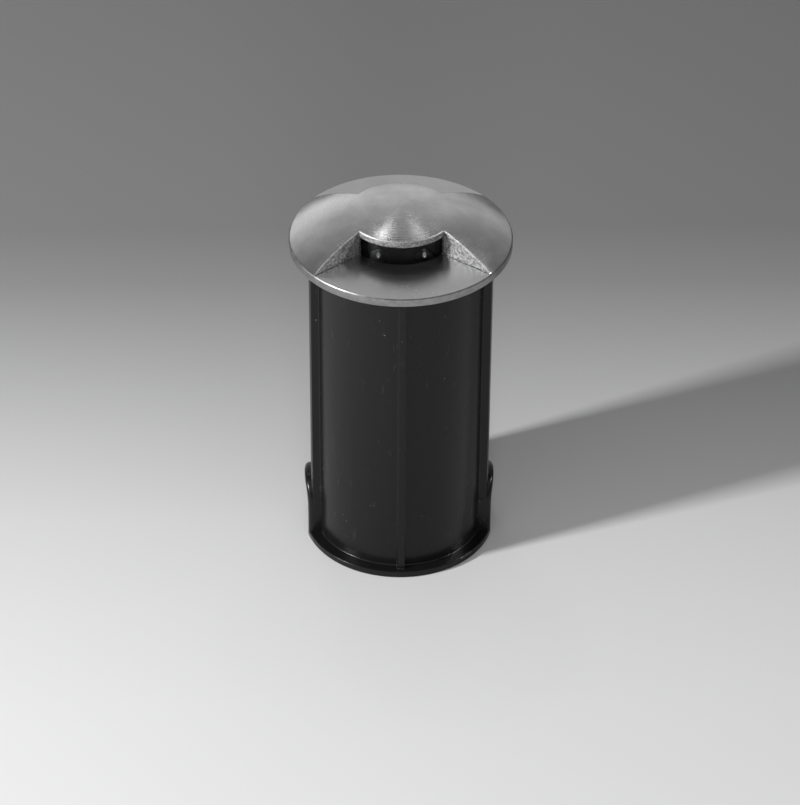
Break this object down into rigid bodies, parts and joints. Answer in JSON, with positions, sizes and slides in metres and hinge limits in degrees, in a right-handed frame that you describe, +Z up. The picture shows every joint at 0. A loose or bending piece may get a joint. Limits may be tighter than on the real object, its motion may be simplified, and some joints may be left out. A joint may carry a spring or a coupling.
{
  "type": "in-ground well light",
  "caption": "In-ground marker light with a domed walk-over steel cover, opposed light windows, a sealed lamp body and a black ribbed ground sleeve with cable entries.",
  "frame": {"origin": "centre of the ground sleeve's foot, on the plane that it stands on", "axes": "+Z up along the lamp's axis; the light windows face -Y and +Y; the cable entries face -X and +X"},
  "size_m": [0.076, 0.076, 0.1344],
  "materials": {
    "cover_steel": "cast stainless steel with a fine turned face and grainy as-cast walls",
    "sleeve_plastic": "black moulded polypropylene, satin",
    "housing_metal": "black powder-coated die-cast aluminium",
    "core_metal": "plain machined aluminium",
    "clear_lens": "clear polycarbonate",
    "shroud_plastic": "glossy black moulding",
    "seal_rubber": "soft black silicone",
    "fixing_steel": "stainless fasteners",
    "spring_steel": "rolled spring steel",
    "led_board_white": "white solder mask on aluminium",
    "led_phosphor": "yellow phosphor",
    "board_green": "green solder mask",
    "coil_copper": "enamelled copper winding",
    "capacitor_sleeve": "shrink sleeve",
    "chip_black": "moulded package",
    "terminal_blue": "moulded terminal block",
    "wire_red": "insulated lead",
    "gland_nylon": "black nylon"
  },
  "bodies": {
    "sleeve": {"ground_sleeve": "sleeve_plastic"},
    "clips": {"clip_band": "spring_steel", "spring_clips": "spring_steel", "clip_rivets": "fixing_steel"},
    "lamp": {"seat_gasket": "seal_rubber", "top_cover": "cover_steel", "cover_screws": "fixing_steel", "lens_cup": "clear_lens", "lens_gasket": "seal_rubber", "lamp_housing": "housing_metal", "led_carrier": "core_metal", "carrier_screws": "fixing_steel", "front_led_board": "led_board_white", "rear_led_board": "led_board_white", "front_leds": "led_phosphor", "rear_leds": "led_phosphor", "front_dome_lenses": "clear_lens", "rear_dome_lenses": "clear_lens", "board_screws": "fixing_steel", "led_shroud": "shroud_plastic", "lead_wires": "wire_red", "driver_board": "board_green", "driver_coil": "coil_copper", "driver_capacitors": "capacitor_sleeve", "driver_chips": "chip_black", "terminal_block": "terminal_blue", "end_cap": "housing_metal", "end_cap_seal": "seal_rubber", "end_cap_screws": "fixing_steel", "gland_body": "gland_nylon", "gland_gasket": "seal_rubber", "gland_seal": "seal_rubber", "gland_nut": "gland_nylon"}
  },
  "joints": [
    {"name": "lamp_lift", "type": "slide", "parent": "sleeve", "child": "clips", "axis": [0, 0, 1], "range_m": [0, 0.1]},
    {"name": "lamp_turn", "type": "hinge", "parent": "clips", "child": "lamp", "pos_m": [0, 0, 0.095], "axis": [0, 0, 1], "range_deg": [-180, 180]}
  ]
}
